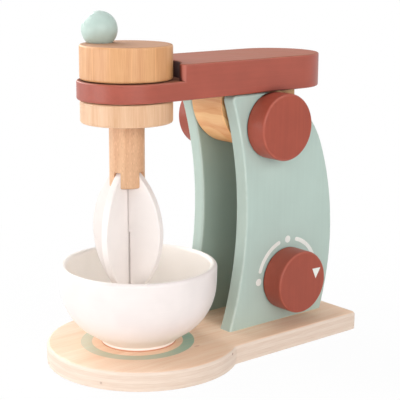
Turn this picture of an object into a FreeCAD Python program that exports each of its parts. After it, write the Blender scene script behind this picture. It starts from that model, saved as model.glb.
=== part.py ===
import FreeCAD, Part
import math
import os

# A wooden toy stand mixer. Millimetres, +Z up, +Y towards the back, +X towards the side with
# the dial. The origin lies on the table, under the middle of the base board's length and width.
# The base carries two side panels. An arm tilts between them on a cross axle, and a hand crank
# at the arm's front end turns a whisk that reaches down into a loose bowl.

# ---- base board: a disc under the bowl that runs back into a straight board ----
base_length = 232.6
base_disc_diameter = 136.0
base_board_width = 109.3
base_thickness = 13.5
base_corner_radius = 4.0
base_neck_round = 6.0
base_top_round = 2.2
base_bottom_round = 0.8

# ---- side panels: hollow front edge, bulging rear edge, rounded crown ----
panel_thickness = 11.6
panel_gap = 36.4
panel_height = 172.4
panel_rear_setback = 15.0
panel_foot_length = 92.9
panel_waist_height = 85.5
panel_waist_depth = 14.7
panel_rear_radius = 194.0
panel_rear_bulge_height = 60.3
panel_crown_radius = 66.0
panel_corner_round = 4.0
panel_edge_round = 1.8

# ---- screws that hold the panels, driven up through the base ----
screw_diameter = 4.0
screw_head_diameter = 8.0
screw_head_height = 2.4
screw_head_recess = 0.6
screw_length = 38.0
screw_point_length = 5.0
screw_end_distance = 20.0
screw_hole_clearance = 0.3

# ---- tilting arm and its hinge ----
arm_thickness = 24.2
arm_overhang = 28.9
arm_rest_gap = 0.7
arm_edge_round = 1.2
arm_horn_round = 3.5
tongue_thickness = 12.9
hinge_drop = 23.7
hinge_from_rear = 70.7
hinge_axle_diameter = 12.0
hinge_knob_diameter = 48.0
hinge_knob_thickness = 17.5
hinge_knob_socket_depth = 10.0
block_radius = 36.0
block_centre_drop = 6.0
block_side_clearance = 1.5
block_edge_round = 1.0
arm_dowel_diameter = 8.0
arm_dowel_length = 30.0
arm_dowel_spacing = 40.0

# ---- crank, drive shaft and whisk, which turn together about the head axis ----
head_from_front = 55.5
disc_diameter = 63.0
disc_edge_round = 1.5
arm_side_margin = 2.1
step_gap = 4.8
crank_disc_thickness = 23.3
lower_disc_thickness = 15.3
shaft_diameter = 24.3
shaft_socket_depth = 14.0
shaft_end_chamfer = 0.8
ball_diameter = 24.8
ball_flat_depth = 3.4
ball_offset = 20.2
ball_direction_deg = 206.0
ball_pin_diameter = 6.0
ball_pin_in_ball = 13.0
ball_pin_in_disc = 10.0
blade_thickness = 5.2
blade_width = 55.9
blade_arc_radius = 56.0
blade_tip_round = 3.0
blade_edge_round = 0.7
blade_centre_drop = 31.4
whisk_tip_height = 32.9
blade_slot_depth = 11.0
blade_lap_clearance = 1.2
blade_direction_deg = 19.6

# ---- loose bowl ----
bowl_from_front = 64.4
bowl_diameter = 111.1
bowl_height = 56.8
bowl_wall = 5.0
bowl_straight_height = 52.4
bowl_wall_radius = 151.0
bowl_wall_bend_deg = 4.7
bowl_underside_slope_deg = 33.8
bowl_foot_diameter = 53.0
bowl_foot_height = 2.4
bowl_foot_width = 4.5
bowl_foot_recess = 1.5

# ---- dial on the side panel ----
dial_diameter = 46.5
dial_thickness = 18.4
dial_height = 31.9
dial_from_rear = 53.3
dial_axle_diameter = 10.0
dial_socket_depth = 11.0
retainer_diameter = 20.0
retainer_thickness = 6.0
retainer_chamfer = 0.8

# ---- shared fits and edge rounds ----
running_clearance = 0.08
blade_fit_clearance = 0.05
knob_gap = 0.4
spin_gap = 0.5
knob_face_round = 2.0
knob_back_round = 1.0

# ---- places that follow from the sizes above ----
base_front_y = -base_length / 2
base_rear_y = base_length / 2
base_disc_y = base_front_y + base_disc_diameter / 2
panel_inner_x = panel_gap / 2
panel_outer_x = panel_inner_x + panel_thickness
panel_top_z = base_thickness + panel_height
panel_rear_foot_y = base_rear_y - panel_rear_setback
panel_front_foot_y = panel_rear_foot_y - panel_foot_length
arm_bottom_z = panel_top_z + arm_rest_gap
arm_top_z = arm_bottom_z + arm_thickness
tongue_top_z = arm_bottom_z + tongue_thickness
hinge_y = base_rear_y - hinge_from_rear
hinge_z = panel_top_z - hinge_drop
head_y = base_front_y + head_from_front
arm_rear_y = hinge_y + arm_overhang
disc_radius = disc_diameter / 2
arm_radius = disc_radius + arm_side_margin
step_radius = disc_radius + step_gap
shaft_radius = shaft_diameter / 2
crank_disc_z = tongue_top_z + spin_gap
crank_disc_top_z = crank_disc_z + crank_disc_thickness
lower_disc_top_z = arm_bottom_z - spin_gap
lower_disc_z = lower_disc_top_z - lower_disc_thickness
blade_lobe_offset = blade_arc_radius - blade_width / 2
blade_half_height = math.sqrt(blade_arc_radius ** 2 - blade_lobe_offset ** 2)
blade_centre_z = base_thickness + whisk_tip_height + blade_half_height
shaft_end_z = blade_centre_z + blade_centre_drop
blade_top_z = shaft_end_z + blade_slot_depth
bowl_y = base_front_y + bowl_from_front
dial_y = base_rear_y - dial_from_rear
dial_z = base_thickness + dial_height

V = FreeCAD.Vector
UP = V(0, 0, 1)
ACROSS = V(1, 0, 0)
REACH = 500.0  # longer than the whole toy: the size of the blocks that trim solids
SAME = 1e-3  # two places nearer than this count as one


def export(node, shape):
    shape.exportStep(os.path.join("parts", node + ".step"))


def line(start, end):
    return Part.LineSegment(start, end).toShape()


def profile_point(centre, radius, angle_deg):
    """A point at an angle on a circle in a profile plane; the centre is (across, up)."""
    angle = math.radians(angle_deg)
    return centre[0] + radius * math.cos(angle), centre[1] + radius * math.sin(angle)


def profile_arc(centre, radius, start_deg, end_deg, place):
    """An arc through its two ends and middle; place turns (across, up) into a 3-D point."""
    angles = (start_deg, (start_deg + end_deg) / 2, end_deg)
    points = [place(*profile_point(centre, radius, angle)) for angle in angles]
    return Part.Arc(*points).toShape()


def side_view(y, z):
    """A point of a profile seen from the side, in the plane x = 0."""
    return V(0, y, z)


def turned_view(radius, z):
    """A point of a turned profile, in the plane y = 0."""
    return V(radius, 0, z)


def level_edges(solid, z):
    """The edges that lie flat at one height."""
    return [edge for edge in solid.Edges
            if abs(edge.BoundBox.ZMin - z) < SAME and abs(edge.BoundBox.ZMax - z) < SAME]


def upright_edges(solid, x, y):
    """The vertical edges that stand at one place in plan, on either side of the middle."""
    found = []
    for edge in solid.Edges:
        box = edge.BoundBox
        upright = box.XMax - box.XMin < SAME and box.YMax - box.YMin < SAME
        if upright and abs(abs(box.Center.x) - x) < SAME and abs(box.Center.y - y) < SAME:
            found.append(edge)
    return found


def rod(radius, length, base, direction):
    return Part.makeCylinder(radius, length, base, direction)


def block_above(z):
    """A block that covers everything above a height."""
    return Part.makeBox(2 * REACH, 2 * REACH, REACH, V(-REACH, -REACH, z))


# ---- base ----

def screw_places():
    """Two screws up into each panel, set in from the ends of its foot."""
    x = panel_inner_x + panel_thickness / 2
    ys = (panel_front_foot_y + screw_end_distance, panel_rear_foot_y - screw_end_distance)
    return [(side * x, y) for side in (-1, 1) for y in ys]


def screw_head_cone(x, y):
    z = screw_head_recess
    radius = screw_head_diameter / 2
    return Part.makeCone(radius, screw_diameter / 2, screw_head_height, V(x, y, z), UP)


def make_base():
    """A disc that runs back into a straight board, with a hollow round in each neck."""
    disc = rod(base_disc_diameter / 2, base_thickness, V(0, base_disc_y, 0), UP)
    width = base_board_width
    board = Part.makeBox(width, base_rear_y - base_disc_y, base_thickness,
                         V(-width / 2, base_disc_y, 0))
    board = board.makeFillet(base_corner_radius, upright_edges(board, width / 2, base_rear_y))
    base = disc.fuse(board).removeSplitter()
    neck_y = base_disc_y + math.sqrt((base_disc_diameter ** 2 - width ** 2) / 4)
    base = base.makeFillet(base_neck_round, upright_edges(base, width / 2, neck_y))
    base = base.makeFillet(base_top_round, level_edges(base, base_thickness))
    base = base.makeFillet(base_bottom_round, level_edges(base, 0))
    for x, y in screw_places():
        hole = rod(screw_diameter / 2 + screw_hole_clearance, base_thickness, V(x, y, 0), UP)
        mouth = rod(screw_head_diameter / 2, screw_head_recess, V(x, y, 0), UP)
        base = base.cut(hole.fuse([mouth, screw_head_cone(x, y)]))
    return base


def screw(x, y):
    radius = screw_diameter / 2
    shank_length = screw_length - screw_point_length
    shank = rod(radius, shank_length, V(x, y, screw_head_recess), UP)
    point_z = screw_head_recess + shank_length
    point = Part.makeCone(radius, 0, screw_point_length, V(x, y, point_z), UP)
    return screw_head_cone(x, y).fuse([shank, point]).removeSplitter()


def make_panel_screws():
    return Part.makeCompound([screw(x, y) for x, y in screw_places()])


# ---- side panels ----

def panel_face():
    """The panel's outline, seen from the side: foot, bulging rear, crown, top, hollow front."""
    rise = panel_rear_bulge_height
    bulge_z = base_thickness + rise
    rear = (panel_rear_foot_y - math.sqrt(panel_rear_radius ** 2 - rise ** 2), bulge_z)
    crown_z = panel_top_z - panel_crown_radius
    reach = panel_rear_radius - panel_crown_radius
    crown = (rear[0] + math.sqrt(reach ** 2 - (crown_z - bulge_z) ** 2), crown_z)
    join_deg = math.degrees(math.asin((crown_z - bulge_z) / reach))
    foot_deg = -math.degrees(math.asin(rise / panel_rear_radius))

    waist_z = base_thickness + panel_waist_height
    waist_y = panel_front_foot_y + panel_waist_depth
    front_radius = (panel_waist_height ** 2 + panel_waist_depth ** 2) / (2 * panel_waist_depth)
    front_centre_y = waist_y - front_radius
    front_top_y = front_centre_y + math.sqrt(front_radius ** 2 - (panel_top_z - waist_z) ** 2)

    front_foot = side_view(panel_front_foot_y, base_thickness)
    front_top = side_view(front_top_y, panel_top_z)
    edges = [
        line(front_foot, side_view(panel_rear_foot_y, base_thickness)),
        profile_arc(rear, panel_rear_radius, foot_deg, join_deg, side_view),
        profile_arc(crown, panel_crown_radius, join_deg, 90, side_view),
        line(side_view(crown[0], panel_top_z), front_top),
        Part.Arc(front_top, side_view(waist_y, waist_z), front_foot).toShape(),
    ]
    return Part.Face(Part.Wire(edges))


def make_panel(side):
    """One side panel; side is +1 for the dial side and -1 for the plain side.

    Its front top corner is rounded, so that one unbroken edge runs round each face.
    """
    panel = panel_face().extrude(ACROSS * panel_thickness)
    ends = [edge for edge in level_edges(panel, panel_top_z) if edge.BoundBox.YLength < SAME]
    front_corner = min(ends, key=lambda edge: edge.BoundBox.YMin)
    panel = panel.makeFillet(panel_corner_round, [front_corner])
    rims = []
    for edge in panel.Edges:
        box = edge.BoundBox
        on_foot = box.ZMax < base_thickness + SAME
        if box.XMax - box.XMin < SAME and not on_foot:
            rims.append(edge)
    panel = panel.makeFillet(panel_edge_round, rims)
    panel.translate(V(panel_inner_x if side > 0 else -panel_outer_x, 0, 0))
    left = V(-panel_outer_x, hinge_y, hinge_z)
    bore = rod(hinge_axle_diameter / 2 + running_clearance, 2 * panel_outer_x, left, ACROSS)
    panel = panel.cut([bore] + [screw(x, y) for x, y in screw_places()])
    if side > 0:
        start = V(panel_inner_x, dial_y, dial_z)
        bore = rod(dial_axle_diameter / 2 + running_clearance, panel_thickness, start, ACROSS)
        panel = panel.cut(bore)
    return panel


# ---- arm and hinge ----

def stadium(bottom_z, top_z):
    """The arm's plan, rounded about the head axis and about the rear end's centre."""
    height = top_z - bottom_z
    front = rod(arm_radius, height, V(0, head_y, bottom_z), UP)
    rear = rod(arm_radius, height, V(0, arm_rear_y, bottom_z), UP)
    middle = Part.makeBox(2 * arm_radius, arm_rear_y - head_y, height,
                          V(-arm_radius, head_y, bottom_z))
    return front.fuse([middle, rear]).removeSplitter()


def arm_dowel_places():
    return [hinge_y + side * arm_dowel_spacing / 2 for side in (-1, 1)]


def arm_dowel(y):
    start = V(0, y, arm_bottom_z - arm_dowel_length / 2)
    return rod(arm_dowel_diameter / 2, arm_dowel_length, start, UP)


def make_arm():
    """A full-length slab with a thick rear part, hollowed round the crank disc at its front."""
    slab = stadium(arm_bottom_z, tongue_top_z)
    slab = slab.makeFillet(arm_edge_round, level_edges(slab, tongue_top_z))
    slab = slab.makeFillet(arm_edge_round, level_edges(slab, arm_bottom_z))
    thick_z = tongue_top_z - 2 * arm_edge_round
    thick = stadium(thick_z, arm_top_z)
    thick = thick.cut(rod(step_radius, REACH, V(0, head_y, thick_z), UP))
    horn_y = head_y + math.sqrt(step_radius ** 2 - arm_radius ** 2)
    thick = thick.makeFillet(arm_horn_round, upright_edges(thick, arm_radius, horn_y))
    thick = thick.makeFillet(arm_edge_round, level_edges(thick, arm_top_z))
    arm = slab.fuse(thick).removeSplitter()
    arm = arm.cut(rod(shaft_radius + running_clearance, REACH, V(0, head_y, 0), UP))
    return arm.cut([arm_dowel(y) for y in arm_dowel_places()])


def make_arm_dowels():
    return Part.makeCompound([arm_dowel(y) for y in arm_dowel_places()])


def make_hinge_block():
    """A half-round block under the arm, a little narrower than the gap between the panels."""
    half_width = panel_inner_x - block_side_clearance
    start = V(-half_width, hinge_y, arm_bottom_z - block_centre_drop)
    block = rod(block_radius, 2 * half_width, start, ACROSS)
    block = block.makeFillet(block_edge_round, [edge for edge in block.Edges if edge.Closed])
    block = block.cut(block_above(arm_bottom_z))
    block = block.cut(rod(hinge_axle_diameter / 2, 2 * panel_outer_x,
                          V(-panel_outer_x, hinge_y, hinge_z), ACROSS))
    return block.cut([arm_dowel(y) for y in arm_dowel_places()])


def make_hinge_axle():
    end_x = panel_outer_x + knob_gap + hinge_knob_socket_depth
    return rod(hinge_axle_diameter / 2, 2 * end_x, V(-end_x, hinge_y, hinge_z), ACROSS)


def make_knob(side, y, z, diameter, thickness, socket_diameter, socket_depth):
    """A round knob beside a panel, with a rounded face and a blind socket in its back."""
    outward = V(side, 0, 0)
    back = V(side * (panel_outer_x + knob_gap), y, z)
    knob = rod(diameter / 2, thickness, back, outward)
    face_x = back.x + side * thickness
    for x, radius in ((face_x, knob_face_round), (back.x, knob_back_round)):
        rim = [edge for edge in knob.Edges
               if edge.Closed and abs(edge.BoundBox.Center.x - x) < SAME]
        knob = knob.makeFillet(radius, rim)
    return knob.cut(rod(socket_diameter / 2, socket_depth, back, outward))


def make_hinge_knob(side):
    return make_knob(side, hinge_y, hinge_z, hinge_knob_diameter, hinge_knob_thickness,
                     hinge_axle_diameter, hinge_knob_socket_depth)


# ---- crank, shaft and whisk ----

def make_disc(bottom_z, thickness):
    disc = rod(disc_radius, thickness, V(0, head_y, bottom_z), UP)
    return disc.makeFillet(disc_edge_round, [edge for edge in disc.Edges if edge.Closed])


def ball_place():
    """The point on the crank disc's top that the ball stands on."""
    angle = math.radians(ball_direction_deg)
    return V(ball_offset * math.cos(angle), head_y + ball_offset * math.sin(angle), crank_disc_top_z)


def ball_pin():
    start = ball_place() - UP * ball_pin_in_disc
    return rod(ball_pin_diameter / 2, ball_pin_in_disc + ball_pin_in_ball, start, UP)


def make_crank_disc():
    disc = make_disc(crank_disc_z, crank_disc_thickness)
    socket = rod(shaft_radius, shaft_socket_depth, V(0, head_y, crank_disc_z), UP)
    return disc.cut([socket, ball_pin()])


def make_crank_ball():
    centre = ball_place() + UP * (ball_diameter / 2 - ball_flat_depth)
    ball = Part.makeSphere(ball_diameter / 2, centre)
    return ball.common(block_above(crank_disc_top_z)).cut(ball_pin())


def make_lower_disc():
    disc = make_disc(lower_disc_z, lower_disc_thickness)
    return disc.cut(rod(shaft_radius, lower_disc_thickness, V(0, head_y, lower_disc_z), UP))


def blade_slab(width, bottom_z, top_z, quarter):
    """An upright slab centred on the head axis, in the plane of one blade."""
    slab = Part.makeBox(2 * REACH, width, top_z - bottom_z,
                        V(-REACH, head_y - width / 2, bottom_z))
    slab.rotate(V(0, head_y, 0), UP, blade_direction_deg + 90 * quarter)
    return slab


def make_drive_shaft():
    """A dowel from the crank disc down to the whisk, with a cross slot sawn in its lower end."""
    top_z = crank_disc_z + shaft_socket_depth
    shaft = rod(shaft_radius, top_z - shaft_end_z, V(0, head_y, shaft_end_z), UP)
    shaft = shaft.makeChamfer(shaft_end_chamfer, level_edges(shaft, shaft_end_z))
    width = blade_thickness + 2 * blade_fit_clearance
    slots = [blade_slab(width, 0, blade_top_z, quarter) for quarter in (0, 1)]
    return shaft.cut(slots)


def make_blade(quarter):
    """A lens-shaped plate. Blade 0 is whole above its middle, and blade 1 below it."""
    start_y = head_y - blade_thickness / 2
    lobes = []
    for side in (-1, 1):
        start = V(side * blade_lobe_offset, start_y, blade_centre_z)
        lobes.append(rod(blade_arc_radius, blade_thickness, start, V(0, 1, 0)))
    blade = lobes[0].common(lobes[1])
    tip_z = blade_centre_z - blade_half_height
    tip = [edge for edge in blade.Edges if abs(edge.BoundBox.ZMax - tip_z) < SAME]
    blade = blade.makeFillet(blade_tip_round, tip)
    blade = blade.cut(block_above(blade_top_z))
    rims = []
    for edge in blade.Edges:
        box = edge.BoundBox
        if box.YMax - box.YMin < SAME and box.ZMin < blade_top_z - SAME:
            rims.append(edge)
    blade = blade.makeFillet(blade_edge_round, rims)
    blade.rotate(V(0, head_y, 0), UP, blade_direction_deg + 90 * quarter)
    lap_width = blade_thickness + 2 * blade_lap_clearance
    if quarter == 0:
        lap = (blade_centre_z - REACH, blade_centre_z)
    else:
        lap = (blade_centre_z, blade_centre_z + REACH)
    return blade.cut(blade_slab(lap_width, lap[0], lap[1], 1 - quarter))


# ---- bowl ----

def make_bowl():
    """A turned bowl: foot, cone, shoulder arc, gently curved wall and a full-round rim.

    The shoulder arc runs on from the wall's arc and touches the cone that rises from the foot,
    which gives its radius.
    """
    radius = bowl_diameter / 2
    foot_radius = bowl_foot_diameter / 2
    bend = bowl_wall_bend_deg
    wall_centre = (radius - bowl_wall_radius, bowl_straight_height)
    end = profile_point(wall_centre, bowl_wall_radius, -bend)
    cone_deg = bowl_underside_slope_deg - 90
    outward = profile_point((0, 0), 1, cone_deg)
    gap = (foot_radius - end[0]) * outward[0] + (bowl_foot_height - end[1]) * outward[1]
    shoulder_radius = gap / (1 - math.cos(math.radians(cone_deg + bend)))
    shoulder = profile_point(end, shoulder_radius, 180 - bend)
    inner_wall_radius = bowl_wall_radius - bowl_wall
    inner_shoulder_radius = shoulder_radius - bowl_wall
    floor_z = shoulder[1] - inner_shoulder_radius
    rim_z = bowl_height - bowl_wall / 2
    rim_centre = (radius - bowl_wall / 2, rim_z)
    foot_inner = foot_radius - bowl_foot_width

    cone_end = turned_view(*profile_point(shoulder, shoulder_radius, cone_deg))
    edges = [
        line(turned_view(0, bowl_foot_recess), turned_view(foot_inner, bowl_foot_recess)),
        line(turned_view(foot_inner, bowl_foot_recess), turned_view(foot_inner, 0)),
        line(turned_view(foot_inner, 0), turned_view(foot_radius, 0)),
        line(turned_view(foot_radius, 0), turned_view(foot_radius, bowl_foot_height)),
        line(turned_view(foot_radius, bowl_foot_height), cone_end),
        profile_arc(shoulder, shoulder_radius, cone_deg, -bend, turned_view),
        profile_arc(wall_centre, bowl_wall_radius, -bend, 0, turned_view),
        line(turned_view(radius, bowl_straight_height), turned_view(radius, rim_z)),
        profile_arc(rim_centre, bowl_wall / 2, 0, 180, turned_view),
        line(turned_view(radius - bowl_wall, rim_z),
             turned_view(radius - bowl_wall, bowl_straight_height)),
        profile_arc(wall_centre, inner_wall_radius, 0, -bend, turned_view),
        profile_arc(shoulder, inner_shoulder_radius, -bend, -90, turned_view),
        line(turned_view(shoulder[0], floor_z), turned_view(0, floor_z)),
        line(turned_view(0, floor_z), turned_view(0, bowl_foot_recess)),
    ]
    profile = Part.Face(Part.Wire(edges))
    bowl = profile.revolve(V(0, 0, 0), UP, 360)
    bowl.translate(V(0, bowl_y, base_thickness))
    return bowl


# ---- dial ----

def make_dial():
    return make_knob(1, dial_y, dial_z, dial_diameter, dial_thickness,
                     dial_axle_diameter, dial_socket_depth)


def retainer_start():
    """Where the retainer's face stands, inside the panel gap."""
    return V(panel_inner_x - knob_gap - retainer_thickness, dial_y, dial_z)


def make_dial_axle():
    start = retainer_start()
    end_x = panel_outer_x + knob_gap + dial_socket_depth
    return rod(dial_axle_diameter / 2, end_x - start.x, start, ACROSS)


def make_dial_retainer():
    """A washer glued on the inner end of the dial's axle, which keeps the dial on the panel."""
    start = retainer_start()
    ring = rod(retainer_diameter / 2, retainer_thickness, start, ACROSS)
    ring = ring.makeChamfer(retainer_chamfer, [edge for edge in ring.Edges if edge.Closed])
    return ring.cut(rod(dial_axle_diameter / 2, retainer_thickness, start, ACROSS))


os.makedirs("parts", exist_ok=True)
export("base", make_base())
export("side_panel_dial", make_panel(1))
export("side_panel_plain", make_panel(-1))
export("panel_screws", make_panel_screws())
export("mixer_arm", make_arm())
export("arm_dowels", make_arm_dowels())
export("hinge_block", make_hinge_block())
export("hinge_axle", make_hinge_axle())
export("hinge_knob_dial_side", make_hinge_knob(1))
export("hinge_knob_plain_side", make_hinge_knob(-1))
export("crank_disc", make_crank_disc())
export("crank_ball", make_crank_ball())
export("crank_ball_pin", ball_pin())
export("drive_shaft", make_drive_shaft())
export("lower_disc", make_lower_disc())
export("whisk_blade_upper", make_blade(0))
export("whisk_blade_lower", make_blade(1))
export("bowl", make_bowl())
export("dial", make_dial())
export("dial_axle", make_dial_axle())
export("dial_retainer", make_dial_retainer())
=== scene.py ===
import math

import bmesh
import bpy
from mathutils import Matrix, Vector


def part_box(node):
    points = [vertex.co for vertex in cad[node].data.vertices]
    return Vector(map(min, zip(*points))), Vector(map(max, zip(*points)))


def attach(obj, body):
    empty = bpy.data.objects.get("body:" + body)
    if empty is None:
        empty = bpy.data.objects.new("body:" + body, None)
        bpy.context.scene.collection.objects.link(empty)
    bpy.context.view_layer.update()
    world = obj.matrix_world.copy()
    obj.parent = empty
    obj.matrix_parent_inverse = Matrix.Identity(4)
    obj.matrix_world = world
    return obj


# The looks of a wooden toy stand mixer: paint, bare wood, printed marks, camera and light.
# Places and sizes of pieces are in metres. Patterns in materials are in millimetres, measured
# in the object's own coordinates, and a pattern's size is about the width of its patches.

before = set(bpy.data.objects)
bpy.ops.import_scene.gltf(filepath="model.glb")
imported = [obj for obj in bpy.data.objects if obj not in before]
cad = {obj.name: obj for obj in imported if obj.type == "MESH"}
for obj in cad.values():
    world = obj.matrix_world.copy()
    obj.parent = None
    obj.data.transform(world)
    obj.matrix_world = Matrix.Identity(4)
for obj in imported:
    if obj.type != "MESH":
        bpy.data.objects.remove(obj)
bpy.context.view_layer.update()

MM = 0.001


# ---- places read from the frame ----

def middle(node):
    low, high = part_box(node)
    return (low + high) / 2


DIAL = middle("dial_axle")
HEAD = middle("drive_shaft")
WHISK = middle("whisk_blade_upper")
BOWL = middle("bowl")
BASE_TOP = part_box("base")[1].z
ARM_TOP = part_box("mixer_arm")[1].z
# The arm has its full height behind this place, and its thin tongue is in front of it.
STEP_Y = min(v.co.y for v in cad["mixer_arm"].data.vertices if v.co.z > ARM_TOP - 1 * MM)
PANEL_INNER_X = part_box("side_panel_dial")[0].x
PANEL_FACE_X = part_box("side_panel_dial")[1].x
DIAL_FACE_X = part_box("dial")[1].x


# ---- colours ----

def srgb(red, green, blue):
    """Screen values from 0 to 255, as the linear colour that shaders use."""
    def linear(value):
        share = value / 255
        return share / 12.92 if share <= 0.04045 else ((share + 0.055) / 1.055) ** 2.4
    return (linear(red), linear(green), linear(blue), 1.0)


def scaled(colour, factor):
    """A colour made lighter or darker, with no channel above 1."""
    return tuple(min(1.0, factor * part) for part in colour[:3]) + (1.0,)


MINT = srgb(183, 202, 193)
# Lighter edge colour: partly rubbed paint, partly a painted highlight.
MINT_EDGE_WEAR_HIGHLIGHT = srgb(206, 220, 212)
# Painted shade for the faces between the two panels.
INNER_SHADE_MINT = srgb(130, 144, 128)
MINT_BALL = srgb(188, 208, 200)
TERRACOTTA = srgb(163, 79, 62)
# Lighter edge colour: partly rubbed paint, partly a painted highlight.
TERRACOTTA_EDGE_WEAR_HIGHLIGHT = srgb(206, 122, 104)
# Darker colour for top faces: partly streaks, partly painted shade.
TERRACOTTA_TOP_SHADE = srgb(140, 86, 56)
# Painted shade for narrow crevices.
CREVICE_SHADE_BROWN = srgb(58, 18, 10)
WARM_WHITE = srgb(242, 234, 230)
BOWL_WHITE = srgb(240, 231, 228)
# Painted light for the inside and underside of the bowl.
BOWL_PAINTED_LIGHT = srgb(255, 250, 244)
PRINT_WHITE = srgb(238, 240, 234)
RING_GREEN = srgb(142, 186, 168)

CRANK_LIGHT = srgb(223, 170, 119)
CRANK_DARK = srgb(193, 129, 73)
CRANK_END = srgb(178, 132, 100)
LOWER_LIGHT = srgb(231, 193, 158)
LOWER_DARK = srgb(207, 155, 111)
LOWER_END = srgb(196, 150, 116)
DOWEL_LIGHT = srgb(226, 184, 145)
DOWEL_DARK = srgb(201, 148, 109)
BLOCK_LIGHT = srgb(249, 201, 141)
BLOCK_DARK = srgb(225, 148, 86)
VENEER_LIGHT = srgb(252, 224, 199)
VENEER_DARK = srgb(238, 195, 160)
PLY_LIGHT = srgb(238, 219, 203)
PLY_DARK = srgb(214, 184, 160)
KNOT_BROWN = srgb(188, 104, 60)
SEAM_BROWN = srgb(70, 48, 36)
# Painted contact shadow round the bowl's foot.
FOOT_CONTACT_SHADOW = srgb(196, 122, 76)
ZINC_DARK = srgb(176, 178, 176)
ZINC_LIGHT = srgb(208, 208, 202)


# ---- shader tools ----

class Nodes:
    """A node tree under construction. Most methods add a node and return its output."""

    def __init__(self, owner):
        owner.use_nodes = True
        self.tree = owner.node_tree
        self.tree.nodes.clear()

    def add(self, kind, inputs, output=0, **settings):
        """Adds a node. An input is given a link if its value is another node's output."""
        node = self.tree.nodes.new(kind)
        for name, value in settings.items():
            setattr(node, name, value)
        for key, value in inputs.items():
            if isinstance(value, bpy.types.NodeSocket):
                self.tree.links.new(value, node.inputs[key])
            else:
                node.inputs[key].default_value = value
        return node.outputs[output]

    def math(self, operation, first, second=0.0, clamp=False):
        return self.add("ShaderNodeMath", {0: first, 1: second}, operation=operation,
                        use_clamp=clamp)

    def product(self, first, *others):
        result = first
        for value in others:
            result = self.math("MULTIPLY", result, value)
        return result

    def total(self, terms, offset=0.0):
        """An offset plus each value times its weight."""
        result = offset
        for value, weight in terms:
            result = self.add("ShaderNodeMath", {0: value, 1: weight, 2: result},
                              operation="MULTIPLY_ADD")
        return result

    def vector(self, operation, first, second=(0, 0, 0)):
        return self.add("ShaderNodeVectorMath", {0: first, 1: second}, operation=operation)

    def length(self, vector):
        return self.add("ShaderNodeVectorMath", {0: vector}, "Value", operation="LENGTH")

    def dot(self, first, second):
        return self.add("ShaderNodeVectorMath", {0: first, 1: second}, "Value",
                        operation="DOT_PRODUCT")

    def part(self, vector, axis):
        return self.add("ShaderNodeSeparateXYZ", {0: vector}, "XYZ".index(axis))

    def level(self, vector):
        """A vector without its height."""
        return self.vector("MULTIPLY", vector, (1, 1, 0))

    def scaled_point(self, point, axis, lengthways, crossways=1.0):
        """A point scaled by one factor along an axis and by another across it. Patterns come
        out longer where the factor is smaller."""
        factors = [crossways] * 3
        factors["XYZ".index(axis)] = lengthways
        return self.vector("MULTIPLY", point, factors)

    def place(self):
        """The point on the piece, in millimetres."""
        point = self.add("ShaderNodeTexCoord", {}, "Object")
        return self.vector("MULTIPLY", point, (1 / MM, 1 / MM, 1 / MM))

    def normal(self):
        return self.add("ShaderNodeTexCoord", {}, "Normal")

    def noise(self, vector, size, detail=2.0, roughness=0.5):
        """Soft patches about size millimetres wide, mostly between 0.3 and 0.7."""
        return self.add("ShaderNodeTexNoise", {"Vector": vector, "Scale": 0.5 / size,
                                               "Detail": detail, "Roughness": roughness})

    def flecks(self, vector, spacing, reach):
        """1 at the middle of scattered flecks, and 0 beyond a share of their spacing."""
        distance = self.add("ShaderNodeTexVoronoi", {"Vector": vector, "Scale": 1 / spacing},
                            "Distance")
        return self.step(distance, 0.3 * reach, reach, 1.0, 0.0)

    def step(self, value, low, high, start=0.0, end=1.0):
        """Goes smoothly from start to end as the value goes from low to high."""
        return self.add("ShaderNodeMapRange", {"Value": value, "From Min": low, "From Max": high,
                                               "To Min": start, "To Max": end},
                        interpolation_type="SMOOTHSTEP")

    def spread(self, noise, start=0.0, end=1.0):
        """Noise stretched to reach from start to end."""
        return self.step(noise, 0.3, 0.7, start, end)

    def patches(self, noise, start=0.0, end=1.0):
        """Noise stretched further, so that patches of start and of end stand out."""
        return self.step(noise, 0.35, 0.65, start, end)

    def seam(self, value, centre, width):
        """1 where the value is at a centre, and 0 once it is a width away."""
        away = self.math("ABSOLUTE", self.math("SUBTRACT", value, centre))
        return self.step(away, 0.0, width, 1.0, 0.0)

    def spot(self, point, centre, radius, squeeze=(1, 1, 1)):
        """1 at a small round spot, and 0 outside it. A squeeze above 1 makes it narrower that
        way, and one below 1 longer."""
        away = self.vector("SUBTRACT", point, centre)
        distance = self.length(self.vector("MULTIPLY", away, squeeze))
        return self.step(distance, 0.4 * radius, radius, 1.0, 0.0)

    def mix(self, factor, first, second):
        """A colour between two. Sockets 6, 7 and 2 are the node's colours A, B and Result."""
        return self.add("ShaderNodeMix", {0: factor, 6: first, 7: second}, 2, data_type="RGBA")

    def over(self, colour, mask, strength, other):
        """A colour with another laid over it where a mask is 1, at a strength."""
        return self.mix(self.math("MULTIPLY", mask, strength), colour, other)

    def facing(self, axis):
        """1 on faces square to an axis, and 0 on faces along it."""
        return self.step(self.math("ABSOLUTE", self.part(self.normal(), axis)), 0.55, 0.9)

    def rounding(self, axis):
        """1 on the rounded edges of a piece cut across one axis, and 0 on its flat faces."""
        part = self.part(self.normal(), axis)
        square = self.math("MULTIPLY", part, part)
        rest = self.math("SUBTRACT", 1.0, square)
        peak = self.math("MULTIPLY", self.math("MULTIPLY", square, rest), 4.0, clamp=True)
        return self.math("POWER", peak, 2.5)

    def upright_corner(self):
        """1 where a surface turns halfway between X and Y, and 0 where it faces either."""
        normal = self.normal()
        both = self.math("MULTIPLY", self.part(normal, "X"), self.part(normal, "Y"))
        return self.step(self.math("ABSOLUTE", both), 0.2, 0.5)

    def bump(self, height, depth):
        """A normal from a height, where a height of 1 stands for a depth in millimetres."""
        return self.add("ShaderNodeBump", {"Height": height, "Distance": depth * MM})

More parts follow.
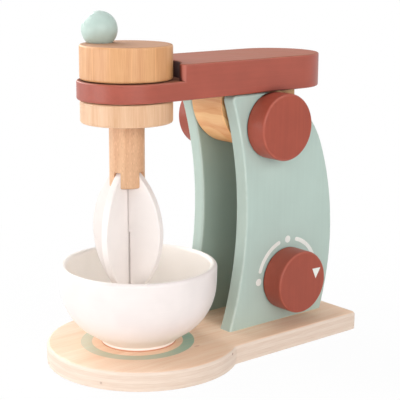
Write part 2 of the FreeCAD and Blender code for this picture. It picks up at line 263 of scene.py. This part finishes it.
    def surface(self, colour, roughness, normal, coat=0.0, coat_roughness=0.3, metallic=0.0,
                specular=0.5):
        """Ends a material. What is the same all over is set on the shader's own sockets."""
        shader = self.add("ShaderNodeBsdfPrincipled",
                          {"Base Color": colour, "Roughness": roughness, "Normal": normal,
                           "Coat Weight": coat, "Coat Roughness": coat_roughness,
                           "Metallic": metallic, "Specular IOR Level": specular})
        self.add_output("ShaderNodeOutputMaterial", shader)

    def add_output(self, kind, shader):
        node = self.tree.nodes.new(kind)
        self.tree.links.new(shader, node.inputs[0])


def new_material(name):
    material = bpy.data.materials.new(name)
    return material, Nodes(material)


# ---- bare wood ----

GRAIN_SHRINK = 0.03


def along(s, point, axis):
    """The point with its place along the grain shrunk, so that patterns run that way."""
    return s.scaled_point(point, axis, GRAIN_SHRINK)


def wander(s, point, size, reach):
    """The point moved about a little, so that straight grain bends."""
    push = s.add("ShaderNodeTexNoise", {"Vector": point, "Scale": 0.5 / size, "Detail": 1.0},
                 "Color")
    push = s.vector("SUBTRACT", push, (0.5, 0.5, 0.5))
    return s.vector("ADD", point, s.vector("MULTIPLY", push, (reach, reach, reach)))


def growth_rings(s, point, pith, spacing):
    """Rings about a pith point: pale early wood that darkens, then stops at a sharp line."""
    away = s.length(s.vector("SUBTRACT", point, pith))
    turn = s.math("FRACT", s.math("DIVIDE", away, spacing))
    return s.math("MULTIPLY", s.step(turn, 0.1, 0.85), s.step(turn, 0.9, 1.0, 1.0, 0.0))


def turned_maple(name, light, dark, end_colour, shift, vein_strength):
    """A disc turned from maple, with the grain along its axis: fine upright streaks on the
    side, a few broad tone bands, thin pale lines, and brown end grain. A shift in millimetres
    gives each disc its own pattern."""
    material, s = new_material(name)
    point = s.vector("ADD", s.place(), (shift, shift, 0))
    grain = along(s, point, "Z")
    band = s.patches(s.noise(grain, size=4.0, detail=1.0))
    streak = s.noise(grain, size=0.45, detail=3.0, roughness=0.6)
    fine = s.noise(grain, size=0.18)
    side = s.mix(s.total([(band, 0.3), (streak, 0.6), (fine, 0.9)], -0.45), light, dark)
    vein = s.seam(s.noise(grain, size=6.0, detail=0.0), centre=0.5, width=0.022)
    side = s.over(side, vein, vein_strength, scaled(light, 1.12))

    bent = wander(s, s.level(point), size=20, reach=5)
    rings = growth_rings(s, bent, pith=(90, -190, 0), spacing=4.5)
    end = s.over(scaled(end_colour, 1.08), rings, 0.3, scaled(end_colour, 0.8))
    cloud = s.noise(point, size=7.0, detail=3.0)
    end = s.mix(s.spread(cloud, 0.0, 0.35), end, scaled(end_colour, 0.88))

    on_end = s.facing("Z")
    colour = s.mix(on_end, side, end)
    colour = s.over(colour, s.rounding("Z"), 0.45, scaled(light, 1.15))
    roughness = s.total([(s.spread(streak, 0.34, 0.44), 1), (on_end, 0.35)])
    s.surface(colour, roughness, s.bump(streak, depth=0.02), specular=0.65)
    return material


PALE_FLECK_SHIFT = (7.3, 2.1, 4.7)


def beech_dowel(name, axis):
    """Steamed beech: even pinkish wood with many short flecks along the grain, dark and pale,
    and darker ends."""
    material, s = new_material(name)
    point = s.place()
    grain = along(s, point, axis)
    band = s.patches(s.noise(grain, size=3.0, detail=1.0))
    streak = s.noise(grain, size=0.4, detail=3.0, roughness=0.6)
    short = s.scaled_point(point, axis, 0.45, 1.6)
    dark_flecks = s.flecks(short, spacing=1.5, reach=0.35)
    pale_flecks = s.flecks(s.vector("ADD", short, PALE_FLECK_SHIFT), spacing=1.8, reach=0.4)
    colour = s.mix(s.total([(band, 0.4), (streak, 0.7)], -0.05), DOWEL_LIGHT, DOWEL_DARK)
    colour = s.over(colour, dark_flecks, 0.3, scaled(DOWEL_DARK, 0.62))
    colour = s.over(colour, pale_flecks, 0.35, scaled(DOWEL_LIGHT, 1.2))
    colour = s.over(colour, s.facing(axis), 0.6, scaled(DOWEL_DARK, 0.75))
    height = s.total([(streak, 1), (dark_flecks, -0.7)])
    s.surface(colour, s.spread(streak, 0.45, 0.58), s.bump(height, depth=0.03), coat=0.15,
              coat_roughness=0.4)
    return material


def pine_block():
    """The hinge block: grain across the toy, broad warm bands, a curved figure, end grain."""
    material, s = new_material("pine_hinge_block")
    point = s.place()
    grain = along(s, wander(s, point, size=14, reach=6), "X")
    rings = growth_rings(s, grain, pith=(0, 130, 300), spacing=5.5)
    band = s.patches(s.noise(grain, size=5.0, detail=1.0))
    streak = s.noise(grain, size=0.5, detail=3.0, roughness=0.65)
    curve = s.noise(s.scaled_point(point, "X", 0.5), size=8.0, detail=0.0)
    figure = s.seam(curve, centre=0.5, width=0.012)
    amount = s.total([(rings, 0.45), (band, 0.4), (streak, 0.6), (figure, 0.3)], -0.24)
    side = s.mix(amount, BLOCK_LIGHT, BLOCK_DARK)
    end_amount = s.total([(rings, 0.5), (s.noise(point, size=0.5, detail=3.0), 1)], -0.3)
    end = s.mix(end_amount, scaled(BLOCK_LIGHT, 0.72), scaled(BLOCK_DARK, 0.5))
    colour = s.mix(s.facing("X"), side, end)
    s.surface(colour, s.spread(streak, 0.42, 0.55), s.bump(streak, depth=0.04), coat=0.15,
              coat_roughness=0.35)
    return material


# ---- plywood base ----

PLY_COUNT = 5
RING_CENTRE = (0.7, -53.5, 0.0)
RING_INNER = 32.3
RING_OUTER = 40.3
RING_SOFT_EDGE = 0.5
# The ring fades towards the front: a painted sheen.
RING_SHEEN_FADE_Y = (-90.0, -17.0)
RING_FRONT_SHEEN_COVER = 0.58
TOP_KNOT = (37.0, -28.7, 13.5)
TOP_KNOT_RADIUS = 2.2
TOP_KNOT_SQUEEZE = (1.4, 0.7, 1.0)
EDGE_KNOT_RADIUS = 1.2
# Each knot's place and how dark it is.
EDGE_KNOTS = (((59.1, -14.7, 10.7), 0.85), ((33.0, -107.7, 4.5), 0.35),
              ((-24.8, -111.6, 2.4), 0.6))


def veneer(s, point, grain, streak):
    """The board's faces: broad tone bands and fine streaks along the grain, and pores."""
    band = s.patches(s.noise(grain, size=7.0))
    pores = s.flecks(s.scaled_point(point, "Y", 0.2), spacing=1.6, reach=0.22)
    colour = s.mix(s.total([(band, 0.45), (streak, 1.1)], -0.33), VENEER_LIGHT, VENEER_DARK)
    return s.over(colour, pores, 0.18, scaled(VENEER_DARK, 0.7))


def plies(s, point):
    """The board's edge: two tones of ply in turn, level streaks and thin glue lines."""
    layer = s.math("DIVIDE", s.part(point, "Z"), BASE_TOP / MM / PLY_COUNT)
    streak = s.noise(s.scaled_point(point, "Z", 1, 0.05), size=0.35, detail=3.0, roughness=0.6)
    cross_ply = s.step(s.math("PINGPONG", s.math("SUBTRACT", layer, 0.5), 1.0), 0.35, 0.65)
    glue = s.seam(s.math("FRACT", s.math("ADD", layer, 0.5)), centre=0.5, width=0.07)
    colour = s.mix(s.total([(cross_ply, 0.2), (streak, 1.1)], -0.418), PLY_LIGHT, PLY_DARK)
    return s.over(colour, glue, 0.16, scaled(PLY_DARK, 0.7))


def knots(s, point, colour):
    """A colour with one long soft knot on the board's top and a few dark ones on its edge."""
    top_knot = s.spot(point, TOP_KNOT, TOP_KNOT_RADIUS, TOP_KNOT_SQUEEZE)
    colour = s.over(colour, top_knot, 0.42, KNOT_BROWN)
    for place, strength in EDGE_KNOTS:
        knot = s.spot(point, place, EDGE_KNOT_RADIUS)
        colour = s.over(colour, knot, strength, scaled(KNOT_BROWN, 0.5))
    return colour


def bowl_ring(s, point, streak):
    """How much of the painted ring shows: less along streaks, and less towards the front, a fade
    that is a painted sheen.
    """
    away = s.length(s.level(s.vector("SUBTRACT", point, RING_CENTRE)))
    away = s.total([(away, 1), (s.noise(point, size=0.7), 0.5)])
    return s.product(s.step(away, RING_INNER, RING_INNER + RING_SOFT_EDGE),
                     s.step(away, RING_OUTER, RING_OUTER + RING_SOFT_EDGE, 1.0, 0.0),
                     s.spread(streak, 1.0, 0.8),
                     s.step(s.part(point, "Y"), *RING_SHEEN_FADE_Y, RING_FRONT_SHEEN_COVER, 1.0))


def plywood():
    """Birch plywood: veneer with the grain along Y, plies on the edge, a few small knots, and
    the painted ring that marks the bowl's place."""
    material, s = new_material("birch_plywood")
    point = s.place()
    grain = along(s, wander(s, point, size=25, reach=5), "Y")
    streak = s.noise(grain, size=0.8, detail=3.0, roughness=0.6)
    height = s.part(point, "Z")
    on_top = s.step(height, BASE_TOP / MM - 0.7, BASE_TOP / MM - 0.1)
    underneath = s.step(height, 0.1, 0.6, 1.0, 0.0)
    colour = s.mix(s.math("MAXIMUM", on_top, underneath), plies(s, point),
                   veneer(s, point, grain, streak))
    colour = knots(s, point, colour)
    colour = s.mix(s.product(bowl_ring(s, point, streak), on_top), colour, RING_GREEN)
    s.surface(colour, s.spread(streak, 0.45, 0.58), s.bump(streak, depth=0.035), coat=0.1,
              coat_roughness=0.4)
    return material


# ---- paint ----

class Film:
    """A film of paint under construction. Details change its colour and its roughness."""

    def __init__(self, s, colour, grain, mottle, gloss):
        self.s = s
        self.point = s.place()
        self.streak = s.noise(along(s, self.point, grain), size=1.0, detail=3.0, roughness=0.6)
        cloud = s.noise(self.point, size=16.0, detail=3.0, roughness=0.6)
        tone = s.total([(cloud, 0.6), (self.streak, 0.4)])
        self.colour = s.mix(s.patches(tone), scaled(colour, 1 - mottle / 4),
                            scaled(colour, 1 + mottle / 5))
        self.roughness = s.patches(tone, *gloss)

    def relief(self):
        """Brush streaks with a fine orange peel."""
        return self.s.total([(self.streak, 1), (self.s.noise(self.point, size=0.6), 0.6)])


# Details of paint: each function here returns a change to make to a film.

def worn_highlit_edges(axis, edge_colour, wear_and_highlight):
    """Rounded edges across an axis: lighter there, partly rubbed thin paint and partly a painted
    highlight on the rounding.
    """
    def detail(film):
        s = film.s
        cloud = s.noise(film.point, size=3.0, detail=3.0, roughness=0.6)
        uneven = s.spread(cloud, 0.4 * wear_and_highlight, wear_and_highlight)
        worn_highlit = s.math("MULTIPLY", s.rounding(axis), uneven)
        film.colour = s.mix(worn_highlit, film.colour, edge_colour)
    return detail


def worn_highlit_corner(y, edge_colour):
    """Upright corners near a place along Y: lighter as the edges are, partly rubbed paint and
    partly a painted highlight.
    """
    def detail(film):
        s = film.s
        near = s.seam(s.part(film.point, "Y"), centre=y / MM, width=5.0)
        corner = s.math("MULTIPLY", near, s.upright_corner())
        film.colour = s.over(film.colour, corner, 0.55, edge_colour)
    return detail


def painted_inside_shade(inner_x, shade_colour):
    """Faces no further out than an inner face, on both sides: painted shade, a darker colour
    where the panels shade each other.
    """
    def detail(film):
        s = film.s
        out = s.math("ABSOLUTE", s.part(film.point, "X"))
        inside = s.step(out, inner_x / MM + 0.2, inner_x / MM + 0.8, 1.0, 0.0)
        film.colour = s.over(film.colour, inside, 0.5, shade_colour)
    return detail


def painted_crevice_shade(reach):
    """Crevices narrower than a reach in millimetres: painted shade makes them dark, and they are
    matt.
    """
    def detail(film):
        s = film.s
        openness = s.add("ShaderNodeAmbientOcclusion", {"Distance": reach * MM}, "AO")
        crevice = s.step(openness, 0.35, 0.9, 0.95, 0.0)
        film.colour = s.mix(crevice, film.colour, CREVICE_SHADE_BROWN)
        film.roughness = s.total([(crevice, 0.6)], film.roughness)
    return detail


def matt_shaded_faces(axis, shade_colour):
    """Faces square to an axis: less glossy, and streaked with a darker colour, partly brush
    streaks and partly painted shade against the sheen they catch.
    """
    def detail(film):
        s = film.s
        facing = s.facing(axis)
        dull_shade = s.math("MULTIPLY", facing, s.patches(film.streak, 0.4, 0.8))
        film.colour = s.mix(dull_shade, film.colour, shade_colour)
        film.roughness = s.total([(facing, 0.25)], film.roughness)
    return detail


def paint(name, colour, grain="Z", mottle=0.15, gloss=(0.42, 0.5), bump_depth=0.008, coat=0.08,
          coat_roughness=0.3, specular=0.4, details=()):
    """Satin paint on wood: faint brush streaks along the grain, slight mottling, orange peel
    in the bump, and the details given, in turn."""
    material, s = new_material(name)
    film = Film(s, colour, grain, mottle, gloss)
    for detail in details:
        detail(film)
    s.surface(film.colour, film.roughness, s.bump(film.relief(), depth=bump_depth), coat=coat,
              coat_roughness=coat_roughness, specular=specular)
    return material


BLADE_THICKNESS = 5.2
BLADE_DIRECTION_DEG = 19.6
SEAM_HALF_WIDTH = 0.14


def whisk_paint():
    """White paint on the whisk's plates, with a thin dark line down each of the four corners
    where they cross. The lines are darker below the whisk's middle."""
    material, s = new_material("white_paint_on_whisk")
    point = s.place()
    turned = s.add("ShaderNodeVectorRotate",
                   {"Vector": s.vector("SUBTRACT", point, tuple(HEAD / MM)),
                    "Angle": -math.radians(BLADE_DIRECTION_DEG)}, rotation_type="Z_AXIS")
    corner = s.vector("SUBTRACT", s.vector("ABSOLUTE", turned),
                      (BLADE_THICKNESS / 2, BLADE_THICKNESS / 2, 0))
    away = s.length(s.level(corner))
    away = s.total([(away, 1), (s.noise(point, size=3.0, detail=1.0), 0.15)])
    gap = s.step(away, 0.4 * SEAM_HALF_WIDTH, 2 * SEAM_HALF_WIDTH, 1.0, 0.0)
    whisk_z = WHISK.z / MM
    depth = s.step(s.part(point, "Z"), whisk_z - 2, whisk_z, 1.0, 0.55)
    cloud = s.noise(point, size=16.0, detail=3.0, roughness=0.6)
    colour = s.mix(s.patches(cloud), scaled(WARM_WHITE, 0.97), scaled(WARM_WHITE, 1.01))
    colour = s.mix(s.math("MULTIPLY", gap, depth), colour, SEAM_BROWN)
    streak = s.noise(along(s, point, "Z"), size=1.0, detail=3.0)
    relief = s.total([(streak, 1), (s.noise(point, size=0.6), 0.6)])
    s.surface(colour, s.patches(cloud, 0.42, 0.52), s.bump(relief, depth=0.01), coat=0.08)
    return material


# Heights above the base between which the bowl's painted contact shadow and its lighter
# underside, painted light, end.
CONTACT_SHADOW_UP_TO = (0.6, 1.3)
PAINTED_LIGHT_UP_TO = (2.0, 24.0)


def turned_paint(name, colour, painted_light_colour, centre):
    """Satin paint on the turned bowl: the lathe's fine rings show through it. The inside and
    the underside are painted lighter, as painted light against their shade, and a painted
    contact shadow runs round the foot where it rests on the base."""
    material, s = new_material(name)
    point = s.place()
    outward = s.level(s.vector("SUBTRACT", point, tuple(centre / MM)))
    height = s.part(point, "Z")
    above_base = s.math("SUBTRACT", height, BASE_TOP / MM)
    inside = s.step(s.dot(s.vector("NORMALIZE", outward), s.normal()), -0.2, 0.3, 1.0, 0.0)
    underside = s.step(above_base, *PAINTED_LIGHT_UP_TO, 0.85, 0.0)
    contact_shadow = s.step(above_base, *CONTACT_SHADOW_UP_TO, 0.9, 0.0)
    profile = s.add("ShaderNodeCombineXYZ", {0: s.length(outward), 1: height})
    rings = s.noise(profile, size=0.5)
    cloud = s.noise(point, size=18.0, detail=3.0, roughness=0.6)
    shade = s.mix(s.patches(cloud), scaled(colour, 0.97), scaled(colour, 1.02))
    shade = s.mix(s.spread(rings, 0.0, 0.12), shade, scaled(colour, 0.93))
    # Painted light: the inside and the underside are lighter.
    shade = s.mix(s.math("MAXIMUM", inside, underside), shade, painted_light_colour)
    # Painted contact shadow at the bottom of the foot.
    shade = s.mix(contact_shadow, shade, FOOT_CONTACT_SHADOW)
    relief = s.total([(rings, 1), (s.noise(point, size=0.7), 0.5)])
    s.surface(shade, s.patches(cloud, 0.36, 0.46), s.bump(relief, depth=0.01), coat=0.15,
              coat_roughness=0.25)
    return material


# ---- metal ----

def zinc_steel():
    """Zinc plate on the screws: a cloudy grey with an uneven shine."""
    material, s = new_material("zinc_plated_steel")
    cloud = s.noise(s.place(), size=0.6, detail=3.0, roughness=0.6)
    s.surface(s.mix(cloud, ZINC_DARK, ZINC_LIGHT), s.spread(cloud, 0.25, 0.4),
              s.bump(cloud, depth=0.01), metallic=1.0)
    return material


# ---- a material for every piece ----

MATERIALS = {
    "panel": paint("mint_paint_on_panel", MINT, mottle=0.1, bump_depth=0.003,
                   details=[worn_highlit_edges("X", MINT_EDGE_WEAR_HIGHLIGHT, 0.8),
                            painted_inside_shade(PANEL_INNER_X, INNER_SHADE_MINT)]),
    "ball": paint("mint_paint_on_ball", MINT_BALL, mottle=0.1, bump_depth=0.002, coat=0.22,
                  coat_roughness=0.16, specular=0.3),
    "arm": paint("terracotta_paint_on_arm", TERRACOTTA, grain="Y", mottle=0.3,
                 gloss=(0.34, 0.42), bump_depth=0.012, coat=0.0, specular=0.45,
                 details=[worn_highlit_edges("Z", TERRACOTTA_EDGE_WEAR_HIGHLIGHT, 0.5),
                          worn_highlit_corner(STEP_Y, TERRACOTTA_EDGE_WEAR_HIGHLIGHT),
                          painted_crevice_shade(12),
                          matt_shaded_faces("Z", TERRACOTTA_TOP_SHADE)]),
    "knob": paint("terracotta_paint_on_knob", TERRACOTTA, mottle=0.32, gloss=(0.4, 0.5),
                  coat=0.12, coat_roughness=0.2, specular=0.2,
                  details=[worn_highlit_edges("X", TERRACOTTA_EDGE_WEAR_HIGHLIGHT, 0.38), painted_crevice_shade(4)]),
    "blade": whisk_paint(),
    "bowl": turned_paint("white_paint_on_bowl", BOWL_WHITE, BOWL_PAINTED_LIGHT, BOWL),
    "crank_disc": turned_maple("turned_maple_crank_disc", CRANK_LIGHT, CRANK_DARK, CRANK_END,
                               shift=0.0, vein_strength=0.5),
    "lower_disc": turned_maple("turned_maple_lower_disc", LOWER_LIGHT, LOWER_DARK, LOWER_END,
                               shift=31.0, vein_strength=0.25),
    "dowel": beech_dowel("beech_dowel", "Z"),
    "cross_dowel": beech_dowel("beech_axle", "X"),
    "block": pine_block(),
    "plywood": plywood(),
    "steel": zinc_steel(),
    "print": paint("printed_white", PRINT_WHITE, mottle=0.2, gloss=(0.45, 0.55),
                   bump_depth=0.01, coat=0.0),
}

NODE_MATERIALS = {
    "base": "plywood",
    "side_panel_dial": "panel",
    "side_panel_plain": "panel",
    "panel_screws": "steel",
    "mixer_arm": "arm",
    "arm_dowels": "dowel",
    "hinge_block": "block",
    "hinge_axle": "cross_dowel",
    "hinge_knob_dial_side": "knob",
    "hinge_knob_plain_side": "knob",
    "crank_disc": "crank_disc",
    "crank_ball": "ball",
    "crank_ball_pin": "dowel",
    "drive_shaft": "dowel",
    "lower_disc": "lower_disc",
    "whisk_blade_upper": "blade",
    "whisk_blade_lower": "blade",
    "bowl": "bowl",
    "dial": "knob",
    "dial_axle": "cross_dowel",
    "dial_retainer": "cross_dowel",
}


def dress(piece, material):
    piece.data.materials.clear()
    piece.data.materials.append(MATERIALS[material])


for node, material in NODE_MATERIALS.items():
    dress(cad[node], material)


# ---- printed marks ----

PRINT_HEIGHT = 0.10 * MM
PRINT_SINK = 0.05 * MM
MARK_SHIFT = Vector((2.1, -0.3)) * MM
MARK_RADIUS = 29.3 * MM
MARK_STROKE = 3.1 * MM
DOT_RADIUS = 2.7 * MM
DOT_ANGLES = (0, 91, 178)
ARC_ANGLES = ((19, 73), (109, 162))
POINTER_CORNERS = ((9.4, 8.8), (17.7, 8.5), (13.0, 0.9))


def printed_shape(name, outlines, face_x, body):
    """Thin printed shapes on a face across X. An outline is a list of (y, z) points."""
    mesh = bmesh.new()
    for outline in outlines:
        back = [mesh.verts.new((face_x - PRINT_SINK, y, z)) for y, z in outline]
        front = [mesh.verts.new((face_x + PRINT_HEIGHT, y, z)) for y, z in outline]
        mesh.faces.new(front)
        mesh.faces.new(list(reversed(back)))
        for i in range(len(outline)):
            j = (i + 1) % len(outline)
            mesh.faces.new((back[i], back[j], front[j], front[i]))
    bmesh.ops.recalc_face_normals(mesh, faces=mesh.faces)
    data = bpy.data.meshes.new(name)
    mesh.to_mesh(data)
    mesh.free()
    piece = bpy.data.objects.new(name, data)
    bpy.context.scene.collection.objects.link(piece)
    dress(piece, "print")
    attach(piece, body)


def circle_point(centre, radius, angle_deg):
    angle = math.radians(angle_deg)
    return centre[0] + radius * math.cos(angle), centre[1] + radius * math.sin(angle)


def dot(centre, radius, count=32):
    return [circle_point(centre, radius, 360 * i / count) for i in range(count)]


def arc_stroke(centre, radius, stroke, start_deg, end_deg, count=40):
    """A round-ended stroke along an arc."""
    half = stroke / 2
    angles = [start_deg + (end_deg - start_deg) * i / count for i in range(count + 1)]
    outline = [circle_point(centre, radius + half, angle) for angle in angles]
    tip = circle_point(centre, radius, end_deg)
    outline += [circle_point(tip, half, end_deg + 180 * i / 10) for i in range(1, 10)]
    outline += [circle_point(centre, radius - half, angle) for angle in reversed(angles)]
    tip = circle_point(centre, radius, start_deg)
    outline += [circle_point(tip, half, start_deg + 180 + 180 * i / 10) for i in range(1, 10)]
    return outline


dial_centre = (DIAL.y, DIAL.z)
mark_centre = (DIAL.y + MARK_SHIFT.x, DIAL.z + MARK_SHIFT.y)
marks = [dot(circle_point(mark_centre, MARK_RADIUS, angle), DOT_RADIUS) for angle in DOT_ANGLES]
for start, end in ARC_ANGLES:
    marks.append(arc_stroke(mark_centre, MARK_RADIUS, MARK_STROKE, start, end))
printed_shape("dial_marks", marks, PANEL_FACE_X, "stand")

pointer = [(dial_centre[0] + dy * MM, dial_centre[1] + dz * MM) for dy, dz in POINTER_CORNERS]
printed_shape("dial_pointer", [pointer], DIAL_FACE_X, "dial")


# ---- camera ----

# Solved together with the toy's proportions, from the photograph's ellipses and straight edges.
CAMERA_PLACE = (0.620663, -0.512150, 0.287475)
CAMERA_HEADING_DEG = 50.2425
CAMERA_PITCH_DEG = 12.5762
CAMERA_ROLL_DEG = 0.2979
CAMERA_LENS_MM = 102.598

camera_data = bpy.data.cameras.new("camera")
camera_data.sensor_fit = "HORIZONTAL"
camera_data.sensor_width = 36.0
camera_data.lens = CAMERA_LENS_MM
camera_data.clip_start = 0.01
camera = bpy.data.objects.new("camera", camera_data)
turn = (Matrix.Rotation(math.radians(CAMERA_HEADING_DEG), 4, "Z")
        @ Matrix.Rotation(math.radians(90 - CAMERA_PITCH_DEG), 4, "X")
        @ Matrix.Rotation(math.radians(CAMERA_ROLL_DEG), 4, "Z"))
camera.matrix_world = Matrix.Translation(CAMERA_PLACE) @ turn
bpy.context.scene.collection.objects.link(camera)
bpy.context.scene.camera = camera


# ---- light ----

OBJECT_MIDDLE = Vector((0, 0, 0.11))

# Each lamp is a soft box that faces the object: its place, width, height and power in watts.
SOFT_BOXES = {
    "left": ((-1.40, 0.05, 0.95), 0.90, 1.00, 16.4),
    "left_high": ((-0.95, -0.95, 1.10), 0.50, 1.10, 8.3),
    "left_low": ((-1.25, -1.05, 0.30), 0.75, 0.55, 4.0),
    "front_low": ((-0.20, -1.50, 0.20), 1.00, 0.38, 7.0),
    "camera_side": ((1.00, -1.00, 0.60), 0.75, 0.75, 5.0),
    "top": ((0.10, 0.05, 1.60), 1.05, 1.05, 6.8),
    "right_front": ((1.50, -0.30, 0.60), 0.85, 0.95, 10.4),
    "right_back": ((1.20, 0.90, 0.80), 0.85, 0.95, 3.8),
}


def soft_box(name, place, width, height, power):
    data = bpy.data.lights.new(name, "AREA")
    data.shape = "RECTANGLE"
    data.size = width
    data.size_y = height
    data.energy = power
    lamp = bpy.data.objects.new(name, data)
    lamp.location = place
    lamp.rotation_euler = (OBJECT_MIDDLE - Vector(place)).to_track_quat("-Z", "Y").to_euler()
    bpy.context.scene.collection.objects.link(lamp)


for name, (place, width, height, power) in SOFT_BOXES.items():
    soft_box(name, place, width, height, power)


# ---- floor and background ----

FLOOR_DROP = 0.2 * MM
FLOOR_HALF_SIDE = 6.0
ROOM_LIGHT = 0.01
# The floor's glow: its share near the object, and the radii between which it grows to 1.
NEAR_SHARE = 0.96
GLOW_RADII = (150, 400)


def plainly_seen(s):
    """1 for rays that show the background: from the camera, from gloss and through glass."""
    path = [s.add("ShaderNodeLightPath", {}, "Is " + kind + " Ray")
            for kind in ("Camera", "Glossy", "Transmission")]
    return s.math("MAXIMUM", s.math("MAXIMUM", path[0], path[1]), path[2])


def make_floor():
    """A white floor. Its white glow leaves room for a faint shadow close to the object."""
    mesh = bmesh.new()
    bmesh.ops.create_grid(mesh, x_segments=1, y_segments=1, size=FLOOR_HALF_SIDE)
    data = bpy.data.meshes.new("floor")
    mesh.to_mesh(data)
    mesh.free()
    floor = bpy.data.objects.new("floor", data)
    floor.location.z = -FLOOR_DROP
    bpy.context.scene.collection.objects.link(floor)
    material, s = new_material("white_floor")
    away = s.length(s.place())
    share = s.step(away, *GLOW_RADII, NEAR_SHARE, 1.0)
    matt = s.add("ShaderNodeBsdfDiffuse", {"Color": (0.9, 0.9, 0.9, 1)})
    glow = s.add("ShaderNodeEmission", {"Strength": 1.0})
    seen = s.math("MULTIPLY", plainly_seen(s), share)
    s.add_output("ShaderNodeOutputMaterial",
                 s.add("ShaderNodeMixShader", {0: seen, 1: matt, 2: glow}))
    data.materials.append(material)


def make_world():
    world = bpy.data.worlds.new("studio")
    bpy.context.scene.world = world
    s = Nodes(world)
    room = s.add("ShaderNodeBackground", {"Color": (1, 1, 1, 1), "Strength": ROOM_LIGHT})
    white = s.add("ShaderNodeBackground", {"Color": (1, 1, 1, 1), "Strength": 1.0})
    s.add_output("ShaderNodeOutputWorld",
                 s.add("ShaderNodeMixShader", {0: plainly_seen(s), 1: room, 2: white}))


make_floor()
make_world()
bpy.context.scene.view_settings.view_transform = "Standard"
